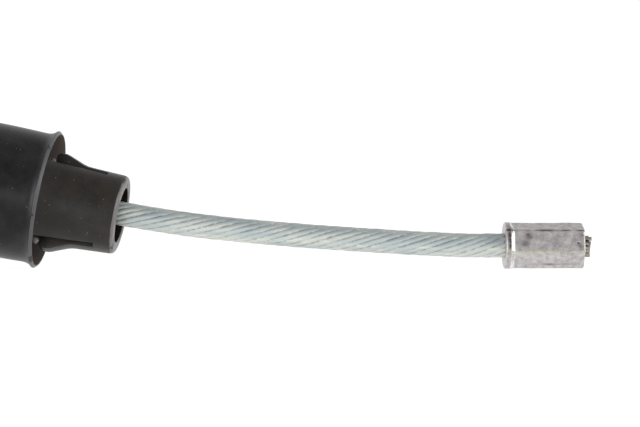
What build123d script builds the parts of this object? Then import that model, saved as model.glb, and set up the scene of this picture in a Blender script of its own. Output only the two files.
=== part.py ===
"""A pull cable: a wire rope in a flexible conduit, with a snap-in nose at the front and a steel end cap
at the rear. The origin is the centre of the nose's flange face, where the nose seats on a panel.
+X runs towards the exposed end of the rope, +Z is up, and the nose axis falls gently towards +X."""

import os
from math import cos, degrees, pi, radians, sin, tan

from build123d import *

# Driving dimensions, in millimetres and degrees. A station is a distance along the nose axis from the
# flange face, positive towards the exposed rope.

rope_radius = 1.5
nose_tilt = 11.0
wire_travel = 18.0  # how far the rope slides in

nose_length = 11.2  # flange face to front face
nose_front_radius = 5.0
nose_root_radius = 5.5
nose_edge_round = 0.4
land_radius = 5.6  # the plain ring that fills the panel hole
land_length = 1.2
flange_radius = 6.9
flange_thickness = 2.0
barrel_radius = 6.2
barrel_length = 25.0
bore_radius = 3.4
socket_depth = 3.0  # the bore ends this far behind the flange face

finger_angle = 77.0  # from the -Y side towards the floor
finger_width = 3.6
finger_thickness = 1.3
finger_root = 2.5  # solid ring between the front face and the windows
finger_length = 6.7
finger_gap = 0.8  # behind the free end
finger_side_gap = 0.85
barb_radius = 6.3
barb_ramp_length = 2.8
barb_top_length = 0.8
barb_round = 0.3
finger_plain_length = 2.8

sleeve_overhang = 1.5  # lip in front of the flange face
sleeve_rear = 35.0
sleeve_radius = 8.35
sleeve_waist_radius = 8.25
lip_radius = 8.8
lip_width = 0.6
lip_length = 1.6
mouth_depth = 2.0
sleeve_clearance = 0.2  # round the flange
sleeve_neck_wall = 2.2
sleeve_neck_length = 6.0

conduit_radius = 4.0
jacket_wall = 0.7
armour_wall = 1.0
liner_clearance = 0.25
liner_setback = 4.5  # liner end behind the socket's end
cap_wall = 0.9
cap_length = 21.0
cap_washer = 1.0
seal_length = 2.0
seal_clearance = 0.6

ferrule_radius = 2.95
ferrule_length = 10.2
collar_length = 1.0
ferrule_start = 59.3  # along X
ferrule_turn = 14.0  # a corner of the hexagon, from the -Y side towards the floor
rope_tip_length = 0.9
hidden_rope = sleeve_rear - wire_travel - 1.0  # behind the flange face, clear of the sleeve's rear

coil_outer_turn = 46.0  # centreline radius
turns_across = 2
turns_high = 2
tie_thickness = 0.4
tie_width = 6.0
tie_angles = [15.0, 125.0, 215.0]
coil_corner = 3.0
coil_centre_x = -90.0

rear_cap_radius = 5.0
rear_collar_radius = 5.6
rear_collar_length = 4.0
rear_cap_length = 28.0
rear_socket_depth = 5.0
rear_liner_wall = 0.55
wiper_radius = 4.0
wiper_length = 4.0
wiper_clearance = 0.3
rear_rope_exposed = 60.0
rear_rope_hidden = wire_travel + 2.5  # stays in the liner when the rope slides out
nipple_radius = 3.5
nipple_length = 9.0
nipple_chamfer = 0.6
nipple_grip = 8.0

# The nose axis, and a plane whose x is the station and whose y is the distance from the axis

along = Vector(cos(radians(nose_tilt)), 0, -sin(radians(nose_tilt)))
nose_axis = Axis((0, 0, 0), along)
side = Plane(origin=(0, 0, 0), x_dir=along, z_dir=(0, -1, 0))
finger_way = Vector(0, -cos(radians(finger_angle)), 0) - side.y_dir * sin(radians(finger_angle))
floor_z = side.from_local_coords(Vector(sleeve_overhang, -lip_radius)).Z


def across(station):
    """The plane square to the nose axis at a station, with its x towards the lower finger."""
    return Plane(origin=along * station, x_dir=finger_way, z_dir=along)


def bend_radii(points):
    """The largest radius that the shorter run at each corner leaves room for."""
    radii = []
    for before, corner, after in zip(points, points[1:], points[2:]):
        run_in = Vector(corner) - Vector(before)
        run_out = Vector(after) - Vector(corner)
        half_turn = radians(run_in.get_angle(run_out)) / 2
        radii.append(0.45 * min(run_in.length, run_out.length) / tan(half_turn))
    return radii


os.makedirs("parts", exist_ok=True)

# Snap-in nose: one moulding with a bore for the rope, a flange, and a barrel that holds the conduit's
# end cap. Two windows make room for the snap fingers.

socket_radius = conduit_radius + cap_wall
finger_root_station = nose_length - finger_root
window_length = finger_gap + finger_length
window_start = finger_root_station - window_length
taper = (nose_front_radius - nose_root_radius) / (nose_length - land_length)


def nose_radius_at(station):
    return nose_root_radius + taper * (station - land_length)


with BuildPart() as snap_nose:
    with BuildSketch(side):
        with BuildLine():
            Polyline(
                (nose_length, bore_radius),
                (nose_length, nose_front_radius),
                (land_length, nose_root_radius),
                (land_length, land_radius),
                (0, land_radius),
                (0, flange_radius),
                (-flange_thickness, flange_radius),
                (-flange_thickness, barrel_radius),
                (-flange_thickness - barrel_length, barrel_radius),
                (-flange_thickness - barrel_length, socket_radius),
                (-socket_depth, socket_radius),
                (-socket_depth, bore_radius),
                close=True,
            )
        make_face()
    revolve(axis=nose_axis)
    front_edge = snap_nose.edges().filter_by(GeomType.CIRCLE).filter_by(
        lambda edge: abs(edge.radius - nose_front_radius) < 1e-6
    )
    fillet(front_edge, nose_edge_round)
    with BuildSketch(across(window_start)):
        Rectangle(4 * nose_root_radius, finger_width + 2 * finger_side_gap)
    extrude(amount=window_length, mode=Mode.SUBTRACT)
snap_nose.part.label = "snap_nose"
export_step(snap_nose.part, "parts/snap_nose.step")

# Snap fingers: each is hinged on the inner edge of its root and carries a ramped barb

finger_inner = nose_radius_at(finger_root_station) - finger_thickness
finger_free = finger_root_station - finger_length
ramp_start = finger_root_station - finger_plain_length
barb_front = ramp_start - barb_ramp_length


def make_finger(name, way):
    with BuildPart() as finger:
        with BuildSketch(side):
            with BuildLine():
                Polyline(
                    (finger_root_station, finger_inner),
                    (finger_root_station, nose_radius_at(finger_root_station)),
                    (ramp_start, nose_radius_at(ramp_start)),
                    (barb_front, barb_radius),
                    (barb_front - barb_top_length, barb_radius),
                    (finger_free, barb_radius - barb_round),
                    (finger_free, finger_inner - 1),
                    (finger_root_station, finger_inner - 1),
                    close=True,
                )
            make_face()
        revolve(axis=nose_axis)
        block = barb_radius - finger_inner + 1
        with BuildSketch(across(finger_free)):
            with Locations((way * (finger_inner + block / 2), 0)):
                Rectangle(block, finger_width)
        extrude(amount=finger_length, mode=Mode.INTERSECT)
    finger.part.label = name
    export_step(finger.part, f"parts/{name}.step")
    return finger


snap_finger_lower = make_finger("snap_finger_lower", 1)
snap_finger_upper = make_finger("snap_finger_upper", -1)

# Rubber sleeve: a flared mouth round the flange, a body gripping the barrel, and a neck on the conduit

barrel_rear = -flange_thickness - barrel_length
neck_radius = conduit_radius + sleeve_neck_wall
with BuildPart() as rubber_sleeve:
    with BuildSketch(side):
        with BuildLine():
            Polyline(
                (sleeve_overhang, lip_radius - lip_width),
                (sleeve_overhang, lip_radius),
                (sleeve_overhang - lip_length, sleeve_waist_radius),
                (barrel_rear, sleeve_radius),
                (-sleeve_rear + sleeve_neck_length / 2, neck_radius),
                (-sleeve_rear, neck_radius),
                (-sleeve_rear, conduit_radius),
                (-sleeve_rear + sleeve_neck_length, conduit_radius),
                (barrel_rear, barrel_radius),
                (-flange_thickness, barrel_radius),
                (-flange_thickness, flange_radius + sleeve_clearance),
                (sleeve_overhang - mouth_depth, flange_radius + sleeve_clearance),
                close=True,
            )
        make_face()
    revolve(axis=nose_axis)
rubber_sleeve.part.label = "rubber_sleeve"
export_step(rubber_sleeve.part, "parts/rubber_sleeve.step")

# Front end cap: steel cup crimped on the conduit, with a washer face that the jacket butts against

armour_radius = conduit_radius - jacket_wall
liner_outer = armour_radius - armour_wall
liner_inner = rope_radius + liner_clearance
washer_rear = -socket_depth - cap_washer
with BuildPart() as front_end_cap:
    with BuildSketch(side):
        with BuildLine():
            Polyline(
                (-socket_depth, liner_outer),
                (-socket_depth, socket_radius),
                (-socket_depth - cap_length, socket_radius),
                (-socket_depth - cap_length, conduit_radius),
                (washer_rear, conduit_radius),
                (washer_rear, liner_outer),
                close=True,
            )
        make_face()
    revolve(axis=nose_axis)
front_end_cap.part.label = "front_end_cap"
export_step(front_end_cap.part, "parts/front_end_cap.step")

# The conduit's layers inside the sleeve, and the rubber seal in the nose's bore


def make_tube(name, front, rear, outer, inner):
    with BuildPart() as tube:
        with BuildSketch(across(rear)):
            Circle(outer)
            Circle(inner, mode=Mode.SUBTRACT)
        extrude(amount=front - rear)
    tube.part.label = name
    export_step(tube.part, f"parts/{name}.step")
    return tube


conduit_jacket = make_tube("conduit_jacket", washer_rear, -sleeve_rear, conduit_radius, armour_radius)
conduit_armour = make_tube("conduit_armour", washer_rear, -sleeve_rear, armour_radius, liner_outer)
liner_front = -socket_depth - liner_setback
conduit_liner = make_tube("conduit_liner", liner_front, -sleeve_rear, liner_outer, liner_inner)
seal_inner = rope_radius + seal_clearance
front_seal = make_tube("front_seal", seal_length - socket_depth, -socket_depth, bore_radius, seal_inner)

# Wire rope: straight in the conduit, then one shallow curve down to the ferrule. Its route is straight
# runs and tangent arcs, and its last arc ends before the ferrule.

ferrule_z = floor_z + ferrule_radius
ferrule_end = ferrule_start + ferrule_length
first_corner_x = 12.0
second_corner_x = 28.0
second_slope = 7.3
third_slope = 3.7
first_corner_z = -first_corner_x * tan(radians(nose_tilt))
second_corner_z = first_corner_z - (second_corner_x - first_corner_x) * tan(radians(second_slope))
third_corner_x = second_corner_x + (second_corner_z - ferrule_z) / tan(radians(third_slope))
rope_points = [
    tuple(along * -hidden_rope),
    (first_corner_x, 0, first_corner_z),
    (second_corner_x, 0, second_corner_z),
    (third_corner_x, 0, ferrule_z),
    (ferrule_end + rope_tip_length, 0, ferrule_z),
]
rope_radii = bend_radii(rope_points)
last_half_turn = radians(Vector(1, 0, 0).get_angle(Vector(rope_points[3]) - Vector(rope_points[2]))) / 2
rope_radii[-1] = min(rope_radii[-1], (ferrule_start - third_corner_x - 0.1) / tan(last_half_turn))
with BuildPart() as pull_wire:
    with BuildLine() as rope_path:
        FilletPolyline(*rope_points, radius=rope_radii)
    with BuildSketch(Plane(origin=rope_path.line @ 0, z_dir=rope_path.line % 0)):
        Circle(rope_radius)
    sweep()
pull_wire.part.label = "pull_wire"
export_step(pull_wire.part, "parts/pull_wire.step")
print("rope bend radii", [round(radius) for radius in rope_radii])

# End ferrule: a round collar and a hexagonally swaged body

ferrule_plane = Plane(origin=(ferrule_start, 0, ferrule_z), x_dir=(0, -1, 0), z_dir=(1, 0, 0))
with BuildPart() as end_ferrule:
    with BuildSketch(ferrule_plane):
        RegularPolygon(ferrule_radius, 6, rotation=ferrule_turn)
    extrude(amount=ferrule_length)
    with BuildSketch(ferrule_plane):
        Circle(ferrule_radius)
    extrude(amount=collar_length)
    with BuildSketch(ferrule_plane):
        Circle(rope_radius)
    extrude(amount=ferrule_length, mode=Mode.SUBTRACT)
end_ferrule.part.label = "end_ferrule"
export_step(end_ferrule.part, "parts/end_ferrule.step")

# The rest of the conduit is stored: a short run to a tied coil, and a tail from the coil to the rear
# end cap. The coil rests on its ties.

exit_point = along * -sleeve_rear
turn_pitch = 2 * conduit_radius
layer_heights = [tie_thickness + conduit_radius + turn_pitch * layer for layer in range(turns_high)]
coil_top_z = floor_z + layer_heights[-1]
coil_bottom_z = floor_z + layer_heights[0]
run_points = [
    tuple(exit_point),
    (-46.14, 0, exit_point.Z + 2.29),
    (-59.1, 0, exit_point.Z + 1.5),
    (-74.8, 0, coil_top_z),
    (coil_centre_x, 0, coil_top_z),
]
rear_axis_z = floor_z + rear_collar_radius
rear_axis_y = -2.6
rear_cap_start = coil_centre_x - 30.0
tail_end = rear_cap_start - rear_socket_depth
tail_points = [
    (coil_centre_x, 0, coil_bottom_z),
    (coil_centre_x - 11.0, 0, coil_bottom_z),
    (coil_centre_x - 24.0, rear_axis_y, rear_axis_z),
    (tail_end, rear_axis_y, rear_axis_z),
]


def make_conduit(name, points):
    radii = bend_radii(points)
    with BuildPart() as conduit:
        with BuildLine() as path:
            FilletPolyline(*points, radius=radii)
        with BuildSketch(Plane(origin=path.line @ 0, z_dir=path.line % 0)):
            Circle(conduit_radius)
        sweep()
    conduit.part.label = name
    export_step(conduit.part, f"parts/{name}.step")
    length = path.wire().length
    print(name, "radii", [round(radius, 1) for radius in radii], "length", round(length, 1))
    area = conduit.part.volume / length
    print(name, "section over its nominal", round(area / (pi * conduit_radius**2), 4))
    return conduit


conduit_run = make_conduit("conduit_run", run_points)
conduit_tail = make_conduit("conduit_tail", tail_points)

coil_outer = coil_outer_turn + conduit_radius
coil_inner = coil_outer - turns_across * turn_pitch
coil_height = turns_high * turn_pitch
coil_middle = (coil_outer + coil_inner) / 2
coil_axis = Axis((coil_centre_x, coil_outer_turn, 0), (0, 0, 1))
coil_side = Plane(origin=(coil_centre_x, coil_outer_turn, floor_z), x_dir=(1, 0, 0), z_dir=(0, -1, 0))
with BuildPart() as conduit_coil:
    with BuildSketch(coil_side):
        with Locations((coil_middle, tie_thickness + coil_height / 2)):
            RectangleRounded(coil_outer - coil_inner, coil_height, coil_corner)
    revolve(axis=coil_axis)
conduit_coil.part.label = "conduit_coil"
export_step(conduit_coil.part, "parts/conduit_coil.step")

tie_sweep = degrees(tie_width / coil_middle)
with BuildPart() as coil_ties:
    for angle in tie_angles:
        way_out = coil_side.x_dir.rotate(Axis.Z, angle)
        with BuildSketch(Plane(coil_side.origin, way_out, coil_side.z_dir.rotate(Axis.Z, angle))):
            with Locations((coil_middle, tie_thickness + coil_height / 2)):
                RectangleRounded(
                    coil_outer - coil_inner + 2 * tie_thickness,
                    coil_height + 2 * tie_thickness,
                    coil_corner + tie_thickness,
                )
                RectangleRounded(
                    coil_outer - coil_inner, coil_height, coil_corner, mode=Mode.SUBTRACT
                )
        revolve(axis=coil_axis, revolution_arc=tie_sweep)
coil_ties.part.label = "coil_ties"
export_step(coil_ties.part, "parts/coil_ties.step")

# Rear end cap with its liner, wiper, rope and nipple, on one axis that runs towards -X. A depth is
# measured from the cap's open end.

rear_side = Plane(origin=(rear_cap_start, rear_axis_y, rear_axis_z), x_dir=(-1, 0, 0), z_dir=(0, 1, 0))
rear_axis = Axis(rear_side.origin, (-1, 0, 0))
rear_liner_outer = liner_inner + rear_liner_wall
wiper_start = rear_cap_length - wiper_length


def make_turned(name, outline, edge_chamfer=0):
    """A turned piece on the rear axis, from its outline of depths and radii."""
    with BuildPart() as turned:
        with BuildSketch(rear_side):
            with BuildLine():
                Polyline(*outline, close=True)
            make_face()
        revolve(axis=rear_axis)
        if edge_chamfer:
            rims = turned.edges().filter_by(GeomType.CIRCLE).group_by(SortBy.RADIUS)[-1]
            chamfer(rims, edge_chamfer)
    turned.part.label = name
    export_step(turned.part, f"parts/{name}.step")
    return turned


rear_end_cap = make_turned(
    "rear_end_cap",
    [
        (0, conduit_radius),
        (0, rear_collar_radius),
        (rear_collar_length, rear_collar_radius),
        (rear_collar_length, rear_cap_radius),
        (rear_cap_length, rear_cap_radius),
        (rear_cap_length, wiper_radius),
        (wiper_start, wiper_radius),
        (wiper_start, rear_liner_outer),
        (rear_socket_depth, rear_liner_outer),
        (rear_socket_depth, conduit_radius),
    ],
)
rear_liner = make_turned(
    "rear_liner",
    [
        (rear_socket_depth, liner_inner),
        (rear_socket_depth, rear_liner_outer),
        (wiper_start, rear_liner_outer),
        (wiper_start, liner_inner),
    ],
)
rear_wiper = make_turned(
    "rear_wiper",
    [
        (wiper_start, rope_radius + wiper_clearance),
        (wiper_start, wiper_radius),
        (rear_cap_length, wiper_radius),
        (rear_cap_length, rope_radius + wiper_clearance),
    ],
)
rear_rope_end = rear_cap_length + rear_rope_exposed + nipple_grip
rear_wire = make_turned(
    "rear_wire",
    [
        (rear_cap_length - rear_rope_hidden, 0),
        (rear_cap_length - rear_rope_hidden, rope_radius),
        (rear_rope_end, rope_radius),
        (rear_rope_end, 0),
    ],
)
nipple_start = rear_cap_length + rear_rope_exposed
rear_nipple = make_turned(
    "rear_nipple",
    [
        (nipple_start, rope_radius),
        (nipple_start, nipple_radius),
        (nipple_start + nipple_length, nipple_radius),
        (nipple_start + nipple_length, 0),
        (rear_rope_end, 0),
        (rear_rope_end, rope_radius),
    ],
    nipple_chamfer,
)
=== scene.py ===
# %% [markdown]
# # A pull cable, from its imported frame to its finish
# The cable is a wire rope that slides in a flexible conduit. A rubber sleeve and a moulded snap-in nose
# hold its front end in a panel, a swaged ferrule ends the rope, and the conduit's unused length lies in a
# tied coil. The CAD model holds every size, so this lesson starts by loading it and never moves it.

# %% Load the frame
import math
import random

import bpy
import numpy as np
from mathutils import Matrix, Vector


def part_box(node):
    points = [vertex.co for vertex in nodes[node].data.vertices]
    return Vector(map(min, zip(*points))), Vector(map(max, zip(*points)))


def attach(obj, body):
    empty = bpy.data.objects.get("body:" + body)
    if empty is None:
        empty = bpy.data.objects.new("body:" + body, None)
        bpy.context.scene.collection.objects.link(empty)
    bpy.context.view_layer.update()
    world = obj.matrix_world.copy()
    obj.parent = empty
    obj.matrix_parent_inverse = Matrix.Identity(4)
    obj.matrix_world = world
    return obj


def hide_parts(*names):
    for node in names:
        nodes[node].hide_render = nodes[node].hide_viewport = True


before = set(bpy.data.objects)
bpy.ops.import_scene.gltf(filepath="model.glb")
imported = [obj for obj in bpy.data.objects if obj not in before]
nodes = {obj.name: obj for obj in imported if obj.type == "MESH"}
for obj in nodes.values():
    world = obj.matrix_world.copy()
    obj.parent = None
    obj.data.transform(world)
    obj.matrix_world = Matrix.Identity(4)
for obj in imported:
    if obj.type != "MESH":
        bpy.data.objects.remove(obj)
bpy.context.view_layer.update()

# %% [markdown]
# ## Sizes
# Blender works in metres and the sizes of this cable are easier to read in millimetres, so one constant
# turns them. The origin is the centre of the nose's flange face. A *station* is a distance along the nose
# axis, which falls by eleven degrees towards the rope.

# %% Sizes
MM = 0.001
TILT = math.radians(11.0)
along = Vector((math.cos(TILT), 0, -math.sin(TILT)))
aside = Vector((0, 1, 0))
upward = along.cross(aside)
floor_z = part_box("conduit_coil")[0].z - 0.4 * MM  # the coil rests on its ties
nose_place = Matrix((aside, upward, along)).transposed().to_4x4()
ferrule_low, ferrule_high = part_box("end_ferrule")
ferrule_centre = (ferrule_low + ferrule_high) / 2
print("floor", round(floor_z, 5), "ferrule", [round(c, 4) for c in ferrule_centre])

# %% [markdown]
# ## The camera
# The camera comes first, because the conduit's coil has to lie just outside its view. An 85 mm lens about
# 19 cm away looks along +Y and five degrees down.

# %% Camera
CAMERA_DISTANCE = 191.2 * MM
CAMERA_DROP = math.radians(5.0)
camera_target = Vector((36.1, 0, -1.9)) * MM
camera_back = Vector((0, -math.cos(CAMERA_DROP), math.sin(CAMERA_DROP)))
bpy.ops.object.camera_add(location=camera_target + camera_back * CAMERA_DISTANCE)
camera = bpy.context.object
camera.rotation_euler = (math.pi / 2 - CAMERA_DROP, 0, 0)
camera.data.lens = 85
camera.data.sensor_width = 36
camera.data.clip_start = 0.01
bpy.context.scene.camera = camera
print("camera at", [round(c, 4) for c in camera.location])

# %% [markdown]
# ## Light
# Small metal parts show what stands round them more than they show a lamp. The room is white at the
# sides and behind, and dimmer overhead and in front, so the rope's top edge turns grey and its underside
# stays bright, as on a light table. One soft lamp in front puts a low sheen on the black sleeve, and one
# at each side lights the edges that face along the cable. Two small functions serve every material too.


# %% Colours and nodes
def linear(code):
    """A linear colour from an sRGB hex code."""
    shares = [int(code[i : i + 2], 16) / 255 for i in (1, 3, 5)]
    return (*[c / 12.92 if c < 0.04045 else ((c + 0.055) / 1.055) ** 2.4 for c in shares], 1)


def add(tree, kind, inputs=None, **settings):
    """Adds a shader node with its settings, and its inputs as values or as links."""
    made = tree.nodes.new(kind)
    for name, value in settings.items():
        setattr(made, name, value)
    for name, value in (inputs or {}).items():
        if isinstance(value, bpy.types.NodeSocket):
            tree.links.new(value, made.inputs[name])
        else:
            made.inputs[name].default_value = value
    return made


def ramp(made, stops):
    """Sets a colour ramp's stops from positions and hex codes."""
    elements = made.color_ramp.elements
    while len(elements) < len(stops):
        elements.new(0.5)
    for element, (place, code) in zip(elements, stops):
        element.position = place
        element.color = linear(code)
    return made


def per_mm(size):
    """The scale that makes one feature of a pattern this many millimetres wide."""
    return 1 / (size * MM)


# %% World and lamp
world = bpy.data.worlds.new("white_room")
bpy.context.scene.world = world
world.use_nodes = True
room = world.node_tree
room.nodes.clear()
way = add(room, "ShaderNodeTexCoord").outputs["Generated"]
parts = add(room, "ShaderNodeSeparateXYZ", {"Vector": way})
overhead = add(
    room,
    "ShaderNodeMapRange",
    {"Value": parts.outputs["Z"], "From Min": 0.2, "From Max": 0.98, "To Min": 1.12, "To Max": 0.46},
)
front = add(
    room,
    "ShaderNodeMapRange",
    {"Value": parts.outputs["Y"], "From Min": -0.95, "From Max": -0.35, "To Min": 0.67, "To Max": 1.0},
)
strength = add(
    room,
    "ShaderNodeMath",
    {0: overhead.outputs["Result"], 1: front.outputs["Result"]},
    operation="MULTIPLY",
)
lit = add(room, "ShaderNodeBackground", {"Color": linear("#ffffff"), "Strength": strength.outputs["Value"]})
add(room, "ShaderNodeOutputWorld", {"Surface": lit.outputs["Background"]})


def soft_lamp(name, spot, size, energy):
    """A rectangular soft lamp at a spot in millimetres, turned to the origin."""
    bpy.ops.object.light_add(type="AREA", location=Vector(spot) * MM)
    lamp = bpy.context.object
    lamp.name = name
    lamp.data.shape = "RECTANGLE"
    lamp.data.size, lamp.data.size_y = (side * MM for side in size)
    lamp.data.energy = energy
    lamp.rotation_euler = (-lamp.location).to_track_quat("-Z", "Y").to_euler()


soft_lamp("front_soft_lamp", (-50, -250, 10), (76, 34), 0.045)
soft_lamp("right_soft_lamp", (420, -120, 90), (240, 190), 0.7)
soft_lamp("left_soft_lamp", (-420, -160, 90), (160, 190), 0.6)
bpy.context.scene.view_settings.view_transform = "Standard"

# %% [markdown]
# ## Routes
# Each cord follows one smooth NURBS line through the points of its CAD route. The rope's strands and the
# conduit both read their places from such a line, so one helper makes it and another reads it back.


# %% Routes
def route_curve(name, points):
    """A curve object with one NURBS spline on these control points."""
    data = bpy.data.curves.new(name, "CURVE")
    data.dimensions = "3D"
    data.resolution_u = 16
    data.twist_mode = "MINIMUM"
    spline = data.splines.new("NURBS")
    spline.points.add(len(points) - 1)
    for point, place in zip(spline.points, points):
        point.co = (*place, 1)
    spline.order_u = 3
    spline.use_endpoint_u = True
    curve = bpy.data.objects.new(name, data)
    bpy.context.collection.objects.link(curve)
    return curve


def line_of(curve):
    """The points down a bare curve, as rows."""
    mesh = bpy.data.meshes.new_from_object(curve)
    line = np.array([v.co for v in mesh.vertices])
    bpy.data.meshes.remove(mesh)
    return line


def evenly(line, step):
    """The line again, with points a step apart."""
    runs = np.linalg.norm(np.diff(line, axis=0), axis=1)
    covered = np.concatenate([[0], np.cumsum(runs)])
    count = max(2, round(covered[-1] / step) + 1)
    places = np.linspace(0, covered[-1], count)
    return np.stack([np.interp(places, covered, line[:, k]) for k in range(3)], axis=1)


# %% [markdown]
# ## Finishes
# Each finish is named for what it is and how it was made. The black parts are two polymers: the sleeve is
# soft moulded rubber with a satin skin, and the nose is glass-filled nylon, harder and a little browner.
# Both pick up dust, so both get sparse pale specks and short fibres, and a fine grain that scatters the
# highlight.


# %% Black polymers
def new_material(name):
    made = bpy.data.materials.new(name)
    made.use_nodes = True
    made.node_tree.nodes.clear()
    return made, made.node_tree


def finish_with(tree, shader):
    add(tree, "ShaderNodeOutputMaterial", {"Surface": shader.outputs["BSDF"]})


def specks(tree, coords, cell, size, share):
    """One where a speck of dust lies: near the centre of a few of the cells."""
    cells = add(
        tree, "ShaderNodeTexVoronoi", {"Vector": coords, "Scale": per_mm(cell), "Randomness": 1.0}
    )
    near = add(
        tree,
        "ShaderNodeMath",
        {0: cells.outputs["Distance"], 1: size / cell},
        operation="LESS_THAN",
    )
    chance = add(tree, "ShaderNodeSeparateColor", {"Color": cells.outputs["Color"]})
    chosen = add(
        tree, "ShaderNodeMath", {0: chance.outputs["Red"], 1: share}, operation="LESS_THAN"
    )
    return add(
        tree,
        "ShaderNodeMath",
        {0: near.outputs["Value"], 1: chosen.outputs["Value"]},
        operation="MULTIPLY",
    ).outputs["Value"]


def marked(tree, colour, attribute, code, share, patch=0.35):
    """The colour with a mark laid over it, where the piece's attribute says, broken up by noise."""
    where = add(tree, "ShaderNodeAttribute", attribute_name=attribute)
    coords = add(tree, "ShaderNodeTexCoord").outputs["Object"]
    patchy = add(tree, "ShaderNodeTexNoise", {"Vector": coords, "Scale": per_mm(patch), "Detail": 4.0})
    broken = add(
        tree,
        "ShaderNodeMapRange",
        {"Value": patchy.outputs["Fac"], "From Min": 0.38, "From Max": 0.58, "To Max": share},
    )
    amount = add(
        tree,
        "ShaderNodeMath",
        {0: where.outputs["Fac"], 1: broken.outputs["Result"]},
        operation="MULTIPLY",
        use_clamp=True,
    )
    mix = add(
        tree,
        "ShaderNodeMix",
        {"Factor": amount.outputs["Value"], "A": colour, "B": linear(code)},
        data_type="RGBA",
    )
    return mix.outputs["Result"]


def polymer(
    name, dark, pale, rough, grain_mm, grain_depth, dust_share, shine=0.3, edge_highlight_and_wear=None, shade_tone=None
):
    """A moulded polymer with clouds, grain and dust, a painted edge highlight with wear, and painted recess
    shade.
    """
    made, tree = new_material(name)
    coords = add(tree, "ShaderNodeTexCoord").outputs["Object"]
    clouds = add(
        tree,
        "ShaderNodeTexNoise",
        {"Vector": coords, "Scale": per_mm(4.0), "Detail": 9.0, "Roughness": 0.72},
    )
    body = ramp(
        add(tree, "ShaderNodeValToRGB", {"Fac": clouds.outputs["Fac"]}), [(0.4, dark), (0.62, pale)]
    )
    dust = specks(tree, coords, 0.55, 0.05, dust_share)
    fibres = add(
        tree, "ShaderNodeMapping", {"Vector": coords, "Rotation": (0.5, 0.4, 0.7), "Scale": (1, 1, 0.3)}
    )
    lint = specks(tree, fibres.outputs["Vector"], 1.6, 0.045, dust_share)
    tint = add(
        tree, "ShaderNodeTexNoise", {"Vector": coords, "Scale": per_mm(1.6), "Detail": 0.0}
    )
    dust_colour = ramp(
        add(tree, "ShaderNodeValToRGB", {"Fac": tint.outputs["Fac"]}),
        [(0.58, "#7f7c76"), (0.68, "#7d5f4c")],
    )
    dusty = add(
        tree,
        "ShaderNodeMix",
        {"Factor": dust, "A": body.outputs["Color"], "B": dust_colour.outputs["Color"]},
        data_type="RGBA",
    )
    linty = add(
        tree,
        "ShaderNodeMix",
        {"Factor": lint, "A": dusty.outputs["Result"], "B": linear("#aca9a2")},
        data_type="RGBA",
    )
    colour = linty.outputs["Result"]
    # a paler front edge: a painted highlight, with some wear on the nose
    if edge_highlight_and_wear:
        colour = marked(tree, colour, "edge_highlight_and_wear", edge_highlight_and_wear, 6.0, 3.0)
    grain = add(
        tree, "ShaderNodeTexNoise", {"Vector": coords, "Scale": per_mm(grain_mm), "Detail": 3.0}
    )
    relief = add(
        tree,
        "ShaderNodeBump",
        {"Height": grain.outputs["Fac"], "Distance": grain_depth * MM, "Strength": 1.0},
    )
    gloss = add(
        tree,
        "ShaderNodeMapRange",
        {"Value": clouds.outputs["Fac"], "To Min": rough - 0.08, "To Max": rough + 0.1},
    )
    # painted shade: in a bore or under a lip the skin is matt with no reflection; the sleeve's gets a flat
    # tone
    recess_shade = add(tree, "ShaderNodeAttribute", attribute_name="recess_shade").outputs["Fac"]
    if shade_tone:
        shade_toned = add(
            tree,
            "ShaderNodeMix",
            {"Factor": recess_shade, "A": colour, "B": linear(shade_tone)},
            data_type="RGBA",
        )
        colour = shade_toned.outputs["Result"]
    matt = add(
        tree, "ShaderNodeMath", {0: gloss.outputs["Result"], 1: recess_shade}, operation="MAXIMUM"
    )
    sheen = add(
        tree, "ShaderNodeMapRange", {"Value": recess_shade, "To Min": shine, "To Max": 0.0}
    )
    shader = add(
        tree,
        "ShaderNodeBsdfPrincipled",
        {
            "Base Color": colour,
            "Roughness": matt.outputs["Value"],
            "Normal": relief.outputs["Normal"],
            "Specular IOR Level": sheen.outputs["Result"],
        },
    )
    finish_with(tree, shader)
    return made


# the paler lip rim is a painted highlight, and the flat tone inside the lip is painted shade
sleeve_rubber = polymer(
    "moulded_rubber", "#0b0b0b", "#211f1f", 0.36, 0.35, 0.012, 0.2, 0.24, edge_highlight_and_wear="#4f4e51", shade_tone="#544d49"
)
# the paler front edge of the nose is partly wear, partly a painted highlight
nose_nylon = polymer(
    "moulded_nylon", "#100d0b", "#251f1b", 0.4, 0.2, 0.03, 0.3, 0.36, edge_highlight_and_wear="#686564"
)
jacket_polymer = polymer("extruded_jacket", "#131313", "#1e1e1e", 0.4, 0.5, 0.008, 0.05, 0.4)
seal_rubber = polymer("seal_rubber", "#0f0f0f", "#181818", 0.55, 0.3, 0.02, 0.0)
tie_polymer = polymer("tie_strap", "#0e0f10", "#17181a", 0.3, 0.8, 0.01, 0.05, 0.5)
print("black finishes", [m.name for m in bpy.data.materials])
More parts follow.
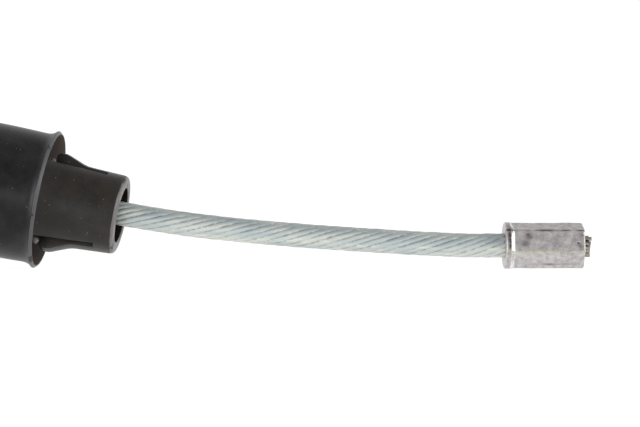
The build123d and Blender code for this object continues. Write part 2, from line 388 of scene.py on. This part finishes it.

# %% [markdown]
# The metals are galvanised drawn wire, a swaged zinc-plated steel ferrule and plated steel caps. A metal's
# colour is its reflection, so its base colour stays pale, and most of what varies is its roughness, its
# relief and its tarnish. The rope's grooves carry painted shade and its warm spots are painted glints, and
# the ferrule's lead-in slopes and collar rim a painted highlight.


# %% Metals
def metal(
    name, dark, pale, warm, rough, grain_mm, grain_depth, stretch=(1, 1, 1), marks=None, cloud_mm=1.6
):
    """A pale metal with cloudy colour, sparse warm spots (painted glints on the rope), and a stretched
    grain.
    """
    made, tree = new_material(name)
    coords = add(tree, "ShaderNodeTexCoord").outputs["Object"]
    stretched = add(tree, "ShaderNodeMapping", {"Vector": coords, "Scale": stretch})
    clouds = add(
        tree,
        "ShaderNodeTexNoise",
        {
            "Vector": stretched.outputs["Vector"],
            "Scale": per_mm(cloud_mm),
            "Detail": 6.0,
            "Roughness": 0.6,
        },
    )
    body = ramp(
        add(tree, "ShaderNodeValToRGB", {"Fac": clouds.outputs["Fac"]}), [(0.35, dark), (0.65, pale)]
    )
    # sparse warm spots: on the rope they are painted glints, on the other metals a tone
    spots = add(
        tree,
        "ShaderNodeTexNoise",
        {"Vector": stretched.outputs["Vector"], "Scale": per_mm(0.8), "Detail": 2.0},
    )
    warmth = add(
        tree,
        "ShaderNodeMapRange",
        {"Value": spots.outputs["Fac"], "From Min": 0.61, "From Max": 0.72, "To Max": 0.5},
    )
    warmed = add(
        tree,
        "ShaderNodeMix",
        {"Factor": warmth.outputs["Result"], "A": body.outputs["Color"], "B": linear(warm)},
        data_type="RGBA",
    )
    colour = warmed.outputs["Result"]
    for attribute, look in (marks or {}).items():
        colour = marked(tree, colour, attribute, *look)
    grain = add(
        tree,
        "ShaderNodeTexNoise",
        {"Vector": stretched.outputs["Vector"], "Scale": per_mm(grain_mm), "Detail": 4.0},
    )
    relief = add(
        tree,
        "ShaderNodeBump",
        {"Height": grain.outputs["Fac"], "Distance": grain_depth * MM, "Strength": 1.0},
    )
    gloss = add(
        tree,
        "ShaderNodeMapRange",
        {"Value": clouds.outputs["Fac"], "To Min": rough - 0.1, "To Max": rough + 0.12},
    )
    shader = add(
        tree,
        "ShaderNodeBsdfPrincipled",
        {
            "Base Color": colour,
            "Metallic": 1.0,
            "Roughness": gloss.outputs["Result"],
            "Normal": relief.outputs["Normal"],
        },
    )
    finish_with(tree, shader)
    return made


galvanised_wire = metal(
    "galvanised_wire",
    "#b6c0c2",
    "#d7dad3",
    # the warm spots here are painted glints on the wires
    "#ebe6d2",
    0.56,
    0.12,
    0.01,
    (0.2, 1, 1),
    # painted shade: the grooves between the wires are darker and bluer
    {"groove": ("#7a868e", 0.7, 0.6)},
)
swaged_steel = metal("swaged_steel", "#b7b2b2", "#c8c4c2", "#c6cab4", 0.42, 0.16, 0.02)
plated_steel = metal("plated_steel", "#b0aea6", "#c9c7bf", "#c9bd93", 0.3, 0.3, 0.01, (1, 0.3, 0.3))
swaged_ferrule = metal(
    "swaged_ferrule",
    "#a8a2a3",
    "#cdc9c8",
    "#c3c5b8",
    0.4,
    0.14,
    0.045,
    marks={
        "tarnish": ("#5c5455", 1.2, 1.4),
        "rubbed": ("#c0c8a4", 0.8, 0.5),
        # a painted highlight on the lead-in slopes and the collar's rim
        "painted_highlight": ("#f6f6f8", 2.0, 3.0),
    },
    cloud_mm=0.7,
)
cut_wire = metal("cut_wire", "#6f6a61", "#a8a49a", "#8d7f62", 0.4, 0.1, 0.03)
liner_polymer = polymer("liner_polymer", "#b9bab6", "#c8c9c5", 0.4, 0.5, 0.01, 0.0, 0.5)
print("metals", galvanised_wire.name, swaged_steel.name, plated_steel.name)

# %% [markdown]
# ## The wire rope
# The rope is one strand of nineteen wires: a core of seven, and twelve wires laid round it to the left, one
# full turn in about 21 mm. Drawing has flattened their crowns. Each wire is a round tube on a helix round
# the rope's route. Real wires give the scalloped edge and the slanting grooves in geometry, which a bump
# can't.

# %% Rope route
rope_points = [
    along * -16.0 * MM,
    Vector((12.0, 0, -2.333)) * MM,
    Vector((28.0, 0, -4.382)) * MM,
    Vector((52.6, 0, ferrule_centre.z / MM)) * MM,
    Vector((58.4, 0, ferrule_centre.z / MM)) * MM,
    Vector((69.4, 0, ferrule_centre.z / MM)) * MM,
]
rope_curve = route_curve("rope_route", rope_points)
LINE_STEP = 0.4 * MM
rope_line = evenly(line_of(rope_curve), LINE_STEP)
bpy.data.objects.remove(rope_curve)
print("rope line", len(rope_line), "points")

# %% Rope wires
OUTER_WIRES = 12
CROWN_RADIUS = 0.5  # the wires flatten against each other, so their crowns are broad
ROPE_REACH = 1.53
GROOVE_REACH = 1.42
ROPE_LAY = 21.0
WIRE_LIFT = 0.02  # how far a wire strays from its ring, in millimetres
WIRE_SWAY = 0.05  # and from its place round the rope, in radians


def wire_places(line, ring, turn_start, lay):
    """Points of one wire: a left-hand helix of this ring radius round the line."""
    tangents = np.gradient(line, axis=0)
    tangents /= np.linalg.norm(tangents, axis=1)[:, None]
    sideways = np.tile(np.array(aside), (len(line), 1))
    across = np.cross(tangents, sideways)
    covered = np.concatenate([[0], np.cumsum(np.linalg.norm(np.diff(line, axis=0), axis=1))])
    turn = turn_start - 2 * math.pi * covered / (lay * MM)
    ring = np.asarray(ring) * MM
    return line + (ring * np.cos(turn))[:, None] * sideways + (ring * np.sin(turn))[:, None] * across


def grooved(piece, line, crown, groove):
    """Notes how deep each point lies in the lay, from none on a crown to one in a groove, for painted
    shade.
    """
    corners = np.array([v.co for v in piece.data.vertices])
    depth = []
    for part in np.array_split(corners, 40):
        gaps = np.linalg.norm(part[:, None] - line[None], axis=2).min(axis=1)
        depth.extend(np.clip((crown * MM - gaps) / ((crown - groove) * MM), 0, 1))
    piece.data.attributes.new("groove", "FLOAT", "POINT").data.foreach_set("value", depth)


def tubes(name, wires, radius, sides):
    """One mesh of round tubes with closed ends, a tube for each list of points."""
    data = bpy.data.curves.new(name, "CURVE")
    data.dimensions = "3D"
    data.bevel_depth = radius * MM
    data.bevel_resolution = (sides - 4) // 2
    data.use_fill_caps = True
    for places in wires:
        spline = data.splines.new("POLY")
        spline.points.add(len(places) - 1)
        spline.points.foreach_set("co", np.c_[places, np.ones(len(places))].astype(np.float32).ravel())
    curve = bpy.data.objects.new(name, data)
    bpy.context.collection.objects.link(curve)
    bpy.ops.object.select_all(action="DESELECT")
    curve.select_set(True)
    bpy.context.view_layer.objects.active = curve
    bpy.ops.object.convert(target="MESH")
    made = bpy.context.object
    bpy.ops.object.shade_smooth_by_angle(angle=math.radians(50))
    return made


def wire_rope(name, line, seed):
    """The twelve outer wires, each a little out of true. Their crowns hide the core."""
    drawn = random.Random(seed)
    ring = ROPE_REACH - CROWN_RADIUS
    wires = []
    for number in range(OUTER_WIRES):
        start = 2 * math.pi * number / OUTER_WIRES + drawn.uniform(-0.02, 0.02)
        lift = np.cumsum([drawn.uniform(-1, 1) for _ in line])
        lift /= np.abs(lift).max()
        wires.append(wire_places(line, ring + WIRE_LIFT * lift, start + WIRE_SWAY * lift, ROPE_LAY))
    made = tubes(name, wires, CROWN_RADIUS, 20)
    # the groove depth drives the painted shade between the wires
    grooved(made, line, ROPE_REACH - 0.03, GROOVE_REACH)
    return made


rope = wire_rope("pull_wire_rope", rope_line, 4)
rope.data.materials.append(galvanised_wire)
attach(rope, "rope")
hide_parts("pull_wire")
print("rope faces", len(rope.data.polygons))

# %% [markdown]
# ## Turned shapes
# The sleeve, nose and ferrule are all turned shapes. As by hand, each starts from a circle at its first
# station, which is extruded and resized from one station to the next until the outline closes on itself.


# %% Turned shapes
def deselect():
    if bpy.context.mode != "OBJECT":
        bpy.ops.object.mode_set(mode="OBJECT")
    bpy.ops.object.select_all(action="DESELECT")


def turned(name, outline, sides):
    """A shell turned round Z from a closed outline of stations and radii, in millimetres."""
    deselect()
    station, radius = outline[0]
    bpy.ops.mesh.primitive_circle_add(vertices=sides, radius=radius * MM, location=(0, 0, station * MM))
    made = bpy.context.object
    made.name = made.data.name = name
    bpy.ops.object.transform_apply(location=True, rotation=True, scale=True)
    bpy.ops.object.mode_set(mode="EDIT")
    bpy.ops.mesh.select_all(action="SELECT")
    for next_station, next_radius in (*outline[1:], outline[0]):
        move = (0, 0, (next_station - station) * MM)
        bpy.ops.mesh.extrude_region_move(TRANSFORM_OT_translate={"value": move})
        share = next_radius / radius
        bpy.ops.transform.resize(
            value=(share, share, 1), center_override=(0, 0, next_station * MM)
        )
        station, radius = next_station, next_radius
    bpy.ops.mesh.select_all(action="SELECT")
    bpy.ops.mesh.remove_doubles(threshold=1e-7)
    bpy.ops.mesh.normals_make_consistent(inside=False)
    bpy.ops.object.mode_set(mode="OBJECT")
    return made


def place(piece, matrix):
    """Puts a piece's place in its mesh and leaves its object at the origin."""
    piece.data.transform(matrix)
    if matrix.determinant() < 0:
        piece.data.flip_normals()
    piece.data.update()


def smooth(piece, degrees=35):
    deselect()
    piece.select_set(True)
    bpy.context.view_layer.objects.active = piece
    bpy.ops.object.shade_smooth_by_angle(angle=math.radians(degrees))


def apply_modifier(piece, kind, **settings):
    """Adds a modifier with its settings and applies it."""
    deselect()
    piece.select_set(True)
    bpy.context.view_layer.objects.active = piece
    made = piece.modifiers.new(kind.lower(), kind)
    for name, value in settings.items():
        setattr(made, name, value)
    bpy.ops.object.modifier_apply(modifier=made.name)


# %% [markdown]
# ## The rubber sleeve
# The sleeve is a thick moulded tube that flares into a thin lip over the nose's flange. Rubber never comes
# out of a mould perfectly round, so once it is turned its points are moved by a slow, small wave.

# %% Rubber sleeve
sleeve_outline = [
    (-35.0, 4.05),
    (-35.0, 5.9),
    (-34.7, 6.2),
    (-32.0, 6.28),
    (-31.0, 6.6),
    (-28.2, 8.0),
    (-27.0, 8.3),
    (-20.0, 8.36),
    (-10.0, 8.38),
    (-4.0, 8.36),
    (-1.2, 8.31),
    (-0.3, 8.28),
    (0.3, 8.28),
    (0.7, 8.34),
    (1.0, 8.45),
    (1.25, 8.6),
    (1.45, 8.78),
    (1.52, 8.81),
    (1.58, 8.79),
    (1.8, 8.59),
    (1.86, 8.52),
    (1.85, 8.46),
    (1.8, 8.39),
    (1.1, 7.9),
    (0.1, 7.4),
    (-0.5, 7.15),
    (-1.95, 7.1),
    (-2.0, 6.25),
    (-26.9, 6.22),
    (-29.0, 4.05),
]
sleeve = turned("rubber_sleeve_shell", sleeve_outline, 160)
SLEEVE_SET = 0.2  # rubber takes a set, here upwards


def wave(piece, depth, turns):
    """Moves each point out or in by a slow wave round and along a turned piece."""
    for vertex in piece.data.vertices:
        x, y, z = vertex.co
        reach = math.hypot(x, y)
        angle = math.atan2(y, x)
        lift = math.sin(turns * angle + z / (5 * MM)) + 0.6 * math.sin((turns + 1) * angle - z / (3 * MM))
        share = 1 + depth * MM * lift / reach
        raised = SLEEVE_SET * MM if reach > 7 * MM else 0
        vertex.co = (x * share, y * share + raised, z)


def note(piece, name, values):
    """Stores one number for each point, for the piece's material to read."""
    piece.data.attributes.new(name, "FLOAT", "POINT").data.foreach_set("value", values)


def note_edge_and_recess(piece, edge_mark_from, bore, flare=0.0):
    """Notes the front edge from its station for a painted highlight, and the inside of the bore for painted
    shade.

    The bore is given at station zero, and the flare is how much it widens for each millimetre forward.
    """
    edge_highlight_and_wear, recess_shade = [], []
    for vertex in piece.data.vertices:
        x, y, z = vertex.co / MM
        inside = math.hypot(x, y) < bore + flare * z
        edge_highlight_and_wear.append(1.0 if z > edge_mark_from and not inside else 0.0)
        recess_shade.append(1.0 if inside else 0.0)
    note(piece, "edge_highlight_and_wear", edge_highlight_and_wear)
    note(piece, "recess_shade", recess_shade)


# the lip's rim is marked for its painted highlight, the inside of the lip for painted shade
note_edge_and_recess(sleeve, 1.5, 7.45, 0.54)
wave(sleeve, 0.035, 3)
place(sleeve, nose_place)
smooth(sleeve, 40)
sleeve.data.materials.append(sleeve_rubber)
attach(sleeve, "conduit")
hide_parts("rubber_sleeve")
print("sleeve faces", len(sleeve.data.polygons))

# %% [markdown]
# ## The snap-in nose
# The nose is turned with its rounded front edge, then two windows are cut through its wall and their edges
# get a small bevel, as a mould leaves them. A finger in each window is moulded with the nose.

# %% Snap-in nose
nose_outline = [
    (-26.95, 4.95),
    (-26.95, 6.15),
    (-2.05, 6.15),
    (-2.0, 6.9),
    (-0.15, 6.9),
    (0.0, 6.75),
    (0.0, 5.6),
    (1.2, 5.58),
    (1.3, 5.5),
    (4.0, 5.36),
    (8.0, 5.16),
    (10.6, 5.03),
    (10.85, 4.99),
    (11.05, 4.88),
    (11.16, 4.72),
    (11.2, 4.5),
    (11.2, 3.62),
    (11.16, 3.54),
    (11.05, 3.5),
    (9.0, 3.48),
    (6.0, 3.4),
    (-2.95, 3.4),
    (-3.0, 4.95),
]
nose = turned("snap_nose_shell", nose_outline, 192)
FINGER_ANGLE = math.radians(77.0)
finger_way = Vector((-math.cos(FINGER_ANGLE), -math.sin(FINGER_ANGLE), 0))
finger_turn = Matrix((finger_way, Vector((0, 0, 1)).cross(finger_way), (0, 0, 1))).transposed().to_4x4()


def block(name, low, high):
    """A block from its corners in the finger's frame."""
    deselect()
    bpy.ops.mesh.primitive_cube_add(size=1)
    made = bpy.context.object
    made.name = made.data.name = name
    for vertex in made.data.vertices:
        corner = [low[k] if vertex.co[k] < 0 else high[k] for k in range(3)]
        vertex.co = Vector(corner) * MM
    made.data.transform(finger_turn)
    return made


def cut_with(piece, tool, operation="DIFFERENCE"):
    apply_modifier(piece, "BOOLEAN", object=tool, operation=operation, solver="EXACT")
    bpy.data.objects.remove(tool)


cut_with(nose, block("lower_window", (0, -2.65, 1.24), (9, 2.65, 8.7)))
cut_with(nose, block("upper_window", (-9, -2.65, 1.5), (0, 2.65, 8.7)))
apply_modifier(
    nose, "BEVEL", width=0.07 * MM, segments=2, limit_method="ANGLE", angle_limit=math.radians(50)
)
# the front edge is marked for its paler colour, wear and painted highlight, and the bore for painted shade
note_edge_and_recess(nose, 10.9, 3.53)
FACE_LEAN = 0.038  # the moulding's front face isn't quite square
LEAN_START = 8.8
LEAN_LENGTH = 1.6
for corner in nose.data.vertices:
    forward = min(1.0, max(0.0, (corner.co.z / MM - LEAN_START) / LEAN_LENGTH))
    corner.co.z += FACE_LEAN * forward * corner.co.x
place(nose, nose_place)
smooth(nose, 40)
nose.data.materials.append(nose_nylon)
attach(nose, "conduit")
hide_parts("snap_nose")
print("nose faces", len(nose.data.polygons))

# %% Snap fingers
finger_outline = [
    (8.7, 3.0),
    (8.7, 5.125),
    (6.4, 5.24),
    (5.9, 5.3),
    (5.4, 5.43),
    (4.2, 5.9),
    (3.4, 6.22),
    (3.0, 6.32),
    (2.5, 6.32),
    (2.2, 6.22),
    (2.0, 6.0),
    (2.0, 3.0),
]
FINGER_WIDTH = 3.6
FINGER_INNER = 3.825  # from the nose's axis to the finger's inner face
FINGER_ROOT = 8.69
PAST_THE_BARB = 7.5


def snap_finger(name, body, node, way):
    """One finger: a slice of a turned ring, kept inside a block, with softened edges."""
    made = turned(name, finger_outline, 192)
    near, far = sorted((way * FINGER_INNER, way * PAST_THE_BARB))
    low, high = (near, -FINGER_WIDTH / 2, 1.9), (far, FINGER_WIDTH / 2, FINGER_ROOT)
    cut_with(made, block("keep", low, high), "INTERSECT")
    apply_modifier(
        made, "BEVEL", width=0.12 * MM, segments=3, limit_method="ANGLE", angle_limit=math.radians(50)
    )
    place(made, nose_place)
    smooth(made, 40)
    made.data.materials.append(nose_nylon)
    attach(made, body)
    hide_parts(node)
    return made


snap_finger("lower_finger_piece", "lower_finger", "snap_finger_lower", 1)
snap_finger("upper_finger_piece", "upper_finger", "snap_finger_upper", -1)
print("fingers made")

# %% [markdown]
# ## The ferrule
# A round slug is slid on the rope and squeezed in a hexagonal die, which leaves a round collar at one end
# and six flats on the rest. It is turned first, and then each point is moved to the die's outline. The
# rope's nineteen cut ends stick out past it.

# %% Ferrule
COLLAR_RADIUS = 2.95
FLATS_START = 1.12
# the lead-in's brightness is a painted highlight
LEAD_IN = 0.4  # the bright slope from the collar down to each flat
LEAD_IN_SLOPE = 0.95
BODY_END = 9.7
# each flat's direction in degrees from -Y towards the floor, and its distance from the axis
FLATS = [(-18.8, 2.6), (38.6, 2.56), (101.2, 2.56), (161.2, 2.58), (221.2, 2.56), (283.8, 2.56)]
# tarnish: depth, direction in degrees, station, half-width in degrees, half-length in millimetres
TARNISH = [
    (1.5, -38, 2.0, 8, 0.6),
    (1.5, -33, 3.0, 8, 0.5),
    (0.9, -12, 2.3, 9, 0.7),
    (1.0, -30, 9.5, 10, 0.5),
    (1.0, -8, 9.6, 12, 0.5),
    (1.6, -20, 0.58, 26, 0.22),
    (1.1, -48, 5.4, 3.5, 9.0),
    (0.6, 55, 6.0, 3, 3.0),
]
ferrule_outline = [
    (0.08, 1.52),
    (0.08, 2.5),
    (0.1, 2.76),
    (0.15, 2.88),
    (0.23, 2.94),
    (0.32, COLLAR_RADIUS),
    (0.45, COLLAR_RADIUS),
    (0.58, COLLAR_RADIUS),
    *[(0.7 + 0.07 * step, COLLAR_RADIUS) for step in range(6)],
    *[(FLATS_START + 0.2 * step, COLLAR_RADIUS) for step in range(44)],
    (9.96, 2.93),
    (10.08, 2.86),
    (10.15, 2.74),
    (10.17, 2.4),
    (10.17, 1.52),
]
ferrule = turned("end_ferrule_piece", ferrule_outline, 240)


def flat_reach(angle):
    """How far the die's outline reaches at an angle."""
    reaches = [COLLAR_RADIUS - 0.02]
    for degrees, distance in FLATS:
        facing = math.cos(angle - math.radians(degrees))
        if facing > 0.5:
            reaches.append(distance / facing)
    return min(reaches)


def blot(angle, station, centre, middle, wide, long):
    """A soft spot on the ferrule, from one at its centre to nothing."""
    off = math.remainder(angle - math.radians(centre), 2 * math.pi) / math.radians(wide)
    return math.exp(-(off * off) - ((station - middle) / long) ** 2)


def swage(piece):
    """Presses the turned ferrule into the die; notes where it is tarnished or rubbed, and its painted
    highlight.
    """
    tarnish, rubbed, painted_highlight = [], [], []
    for vertex in piece.data.vertices:
        x, y, z = vertex.co / MM
        reach = math.hypot(x, y)
        angle = math.atan2(y, x)
        target = flat_reach(angle)
        tarnish.append(sum(deep * blot(angle, z, *spot) for deep, *spot in TARNISH))
        rubbed.append(blot(angle, 0, 10.1, 0, 4.5, 1))
        # painted highlight on the lead-in slopes and the collar's rim, strongest on the flats facing the
        # front
        on_lead_in = FLATS_START - LEAD_IN < z < FLATS_START and target < COLLAR_RADIUS - 0.06
        shine = 1.0 if -45 < math.degrees(angle) < 10 else 0.4
        rim = 0.5 * blot(angle, 0, 14, 0, 28, 1) if 0.12 < z < 0.2 else 0.0
        painted_highlight.append(shine * on_lead_in + rim)
        if reach < 1.6:
            continue
        limit = min(COLLAR_RADIUS, target + LEAD_IN_SLOPE * max(0.0, FLATS_START - z))
        press = min(reach, limit) if z < BODY_END + 0.1 else reach * target / COLLAR_RADIUS
        press += 0.012 * math.sin(3 * angle + 0.9 * z) + 0.008 * math.sin(7 * angle - 2.1 * z)
        press -= 0.3 * blot(angle, z, -13.5, 9.15, 2.4, 0.12)  # a small pit
        z -= 0.32 * max(0.0, math.cos(angle)) * max(0.0, z - BODY_END)  # the near end is worn back
        vertex.co = Vector((x * press / reach, y * press / reach, z)) * MM
    note(piece, "tarnish", tarnish)
    note(piece, "rubbed", rubbed)
    note(piece, "painted_highlight", painted_highlight)


swage(ferrule)
# The ferrule's first radius points to -Y and its second to the floor, with its length along +X
ferrule_place = Matrix.Translation((ferrule_low.x, 0, ferrule_centre.z)) @ Matrix(
    ((0, 0, 1), (-1, 0, 0), (0, -1, 0))
).to_4x4()
place(ferrule, ferrule_place)
smooth(ferrule, 30)
ferrule.data.materials.append(swaged_ferrule)
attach(ferrule, "rope")
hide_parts("end_ferrule")

# %% Cut wire ends
drawn = random.Random(12)
end_place = Vector((69.0, 0, ferrule_centre.z / MM - 0.1))
cut_ends = []
for ring, count in ((0.0, 1), (0.58, 6), (1.08, 12)):
    for number in range(count):
        angle = 2 * math.pi * (number + drawn.uniform(-0.15, 0.15)) / count
        foot = end_place + Vector((0, ring * math.cos(angle), ring * math.sin(angle)))
        splay = Vector((1, drawn.uniform(-0.12, 0.12), drawn.uniform(-0.14, 0.14)))
        reach = drawn.uniform(0.85, 1.4)
        cut_ends.append([(foot + splay * reach * share) * MM for share in (0, 0.5, 0.9, 1)])
rope_tip = tubes("pull_wire_cut_ends", cut_ends, 0.25, 10)
rope_tip.data.materials.append(cut_wire)
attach(rope_tip, "rope")

# %% [markdown]
# ## The conduit and its coil
# The conduit is stiff, so it leaves the sleeve in one long low bend and is wound into three turns, two wide
# and two high where they stack. Each turn's radius and height come from a short table of where it crosses
# from one place in the bundle to the next, and the points between are spaced evenly.

# %% Conduit
COIL_CENTRE = Vector((-90.0, 46.0))
POINTS_PER_TURN = 16
LOW_TURN = 4.4
HIGH_TURN = 12.4
# turns wound so far, radius, height above the floor
coil_plan = [
    (0.0, 46.0, HIGH_TURN),
    (0.05, 46.0, 12.2),
    (0.18, 46.0, LOW_TURN),
    (0.36, 46.0, LOW_TURN),
    (0.5, 46.0, HIGH_TURN),
    (0.75, 46.0, HIGH_TURN),
    (0.89, 38.0, HIGH_TURN),
    (1.75, 38.0, HIGH_TURN),
    (1.82, 35.6, 8.4),
    (1.89, 38.0, LOW_TURN),
    (2.44, 38.0, LOW_TURN),
    (2.58, 46.0, LOW_TURN),
    (3.0, 46.0, LOW_TURN),
]


def coil_points():
    """Control points of the coil's turns, after its first and before its last."""
    hull = 1 / math.cos(math.pi / POINTS_PER_TURN) ** (2 / 3)  # the spline runs inside its points
    turns, radii, heights = zip(*coil_plan)
    made = []
    for step in range(1, int(turns[-1] * POINTS_PER_TURN)):
        turn = step / POINTS_PER_TURN
        k = max(i for i, start in enumerate(turns) if start <= turn)
        share = (turn - turns[k]) / (turns[k + 1] - turns[k])
        share = share * share * (3 - 2 * share)
        radius = (radii[k] + (radii[k + 1] - radii[k]) * share) * hull
        high = heights[k] + (heights[k + 1] - heights[k]) * share
        angle = -math.pi / 2 - 2 * math.pi * turn
        x = COIL_CENTRE.x + radius * math.cos(angle)
        y = COIL_CENTRE.y + radius * math.sin(angle)
        made.append(Vector((x * MM, y * MM, floor_z + high * MM)))
    return made


exit_point = along * -35.0 * MM
run_points = [
    exit_point,
    Vector((-46.14 * MM, 0, exit_point.z + 2.29 * MM)),
    Vector((-59.1 * MM, 0, exit_point.z + 1.5 * MM)),
    Vector((-74.8 * MM, 0, floor_z + HIGH_TURN * MM)),
    Vector((-90.0 * MM, 0, floor_z + HIGH_TURN * MM)),
]
rear_axis_z = floor_z + 5.6 * MM
tail_points = [
    Vector((-90.0 * MM, 0, floor_z + LOW_TURN * MM)),
    Vector((-101.0 * MM, 0, floor_z + LOW_TURN * MM)),
    Vector((-114.0 * MM, -2.6 * MM, rear_axis_z)),
    Vector((-125.0 * MM, -2.6 * MM, rear_axis_z)),
]
conduit = route_curve("conduit_cord", [*run_points, *coil_points(), *tail_points])
conduit_line = line_of(conduit)
conduit.data.bevel_depth = 4.0 * MM
conduit.data.bevel_resolution = 8
conduit.data.use_fill_caps = True
conduit.data.materials.append(jacket_polymer)
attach(conduit, "conduit")
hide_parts("conduit_run", "conduit_coil", "conduit_tail")

# %% [markdown]
# ## The ties
# A strap is pulled tight, so it follows whatever turns lie inside it. In each of a few planes across the
# strap the turns are circles, and the band's outline is the line that would snap round them.

# %% Coil ties
TIE_PLACES = (19.0, 129.0, 219.0)  # degrees round the coil, at the middle of each strap
TIE_WIDTH = 6.0
TIE_SIDES = 96
TIE_OUTER = 4.4  # from a turn's centreline to the strap's outer face
TIE_INNER = 4.01
COIL_MIDDLE = 42.0


def turns_at(degrees):
    """Where the conduit crosses one plane through the coil's centre: radius and height of each turn."""
    angle = math.radians(degrees)
    outward = np.array((math.cos(angle), math.sin(angle)))
    off_centre = conduit_line[:, :2] - np.array(COIL_CENTRE) * MM
    reach = off_centre @ outward
    past = off_centre @ np.array((-outward[1], outward[0]))
    found = []
    for k in np.flatnonzero((past[:-1] * past[1:] < 0) & (reach[:-1] > 0)):
        share = past[k] / (past[k] - past[k + 1])
        high = conduit_line[k, 2] + share * (conduit_line[k + 1, 2] - conduit_line[k, 2])
        found.append((reach[k] + share * (reach[k + 1] - reach[k]), high))
    return outward, found


def band_ring(degrees, radius):
    """The line that snaps round the turns in one plane, as points."""
    outward, turns = turns_at(degrees)
    ring = []
    for side in range(TIE_SIDES):
        angle = 2 * math.pi * side / TIE_SIDES
        facing = (math.cos(angle), math.sin(angle))
        reach, high = max(turns, key=lambda turn: turn[0] * facing[0] + turn[1] * facing[1])
        reach, high = reach + radius * MM * facing[0], high + radius * MM * facing[1]
        ring.append((*(np.array(COIL_CENTRE) * MM + outward * reach), high))
    return ring


half_sweep = math.degrees(TIE_WIDTH / 2 / COIL_MIDDLE)
corners, faces = [], []
for middle in TIE_PLACES:
    steps = [middle + half_sweep * share for share in (-1, -0.95, -0.5, 0, 0.5, 0.95, 1)]
    rounding = [0.12, 0, 0, 0, 0, 0, 0.12]  # the strap's edges are rounded
    rings = [band_ring(at, TIE_OUTER - less) for at, less in zip(steps, rounding)]
    rings += [band_ring(at, TIE_INNER) for at in reversed(steps)]
    first = len(corners)
    corners.extend(corner for ring in rings for corner in ring)
    for row in range(len(rings)):
        here, there = first + row * TIE_SIDES, first + (row + 1) % len(rings) * TIE_SIDES
        for side in range(TIE_SIDES):
            other = (side + 1) % TIE_SIDES
            faces.append((here + side, here + other, there + other, there + side))
tie_data = bpy.data.meshes.new("coil_tie_straps")
tie_data.from_pydata(corners, [], faces)
ties = bpy.data.objects.new("coil_tie_straps", tie_data)
bpy.context.collection.objects.link(ties)
smooth(ties, 40)
bpy.ops.object.mode_set(mode="EDIT")
bpy.ops.mesh.select_all(action="SELECT")
bpy.ops.mesh.normals_make_consistent(inside=False)
bpy.ops.object.mode_set(mode="OBJECT")
ties.data.materials.append(tie_polymer)
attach(ties, "conduit")
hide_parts("coil_ties")
print("tie faces", len(ties.data.polygons), "turns", [len(turns_at(at)[1]) for at in TIE_PLACES])

# %% Rear rope
rear_low, rear_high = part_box("rear_wire")
rear_centre = (rear_low + rear_high) / 2
rear_line = evenly(
    np.array([(rear_high.x, rear_centre.y, rear_centre.z), (rear_low.x, rear_centre.y, rear_centre.z)]),
    LINE_STEP,
)
rear_rope = wire_rope("rear_wire_rope", rear_line, 9)
rear_rope.data.materials.append(galvanised_wire)
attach(rear_rope, "rear_rope")
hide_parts("rear_wire")

# %% Carried-over parts
kept = {
    "front_end_cap": plated_steel,
    "conduit_liner": liner_polymer,
    "conduit_armour": plated_steel,
    "conduit_jacket": jacket_polymer,
    "front_seal": seal_rubber,
    "rear_end_cap": plated_steel,
    "rear_liner": liner_polymer,
    "rear_wiper": seal_rubber,
    "rear_nipple": swaged_steel,
}
for name, material in kept.items():
    nodes[name].data.materials.clear()
    nodes[name].data.materials.append(material)
    smooth(nodes[name], 35)
print("carried over", list(kept))

# %% [markdown]
# ## The floor
# A white table fills the view and carries on past it, so the cable stands on nothing but white. Most of
# that white is the table's own glow, which leaves only a faint shadow.

# %% Floor
table_finish, table_tree = new_material("white_table")
table_shader = add(
    table_tree,
    "ShaderNodeBsdfPrincipled",
    {
        "Base Color": linear("#606060"),
        "Roughness": 0.9,
        "Specular IOR Level": 0.0,
        "Emission Color": linear("#ffffff"),
        "Emission Strength": 0.97,
    },
)
finish_with(table_tree, table_shader)
deselect()
bpy.ops.mesh.primitive_plane_add(size=6, location=(0, 0, floor_z))
table = bpy.context.object
table.name = "table"
table.data.materials.append(table_finish)
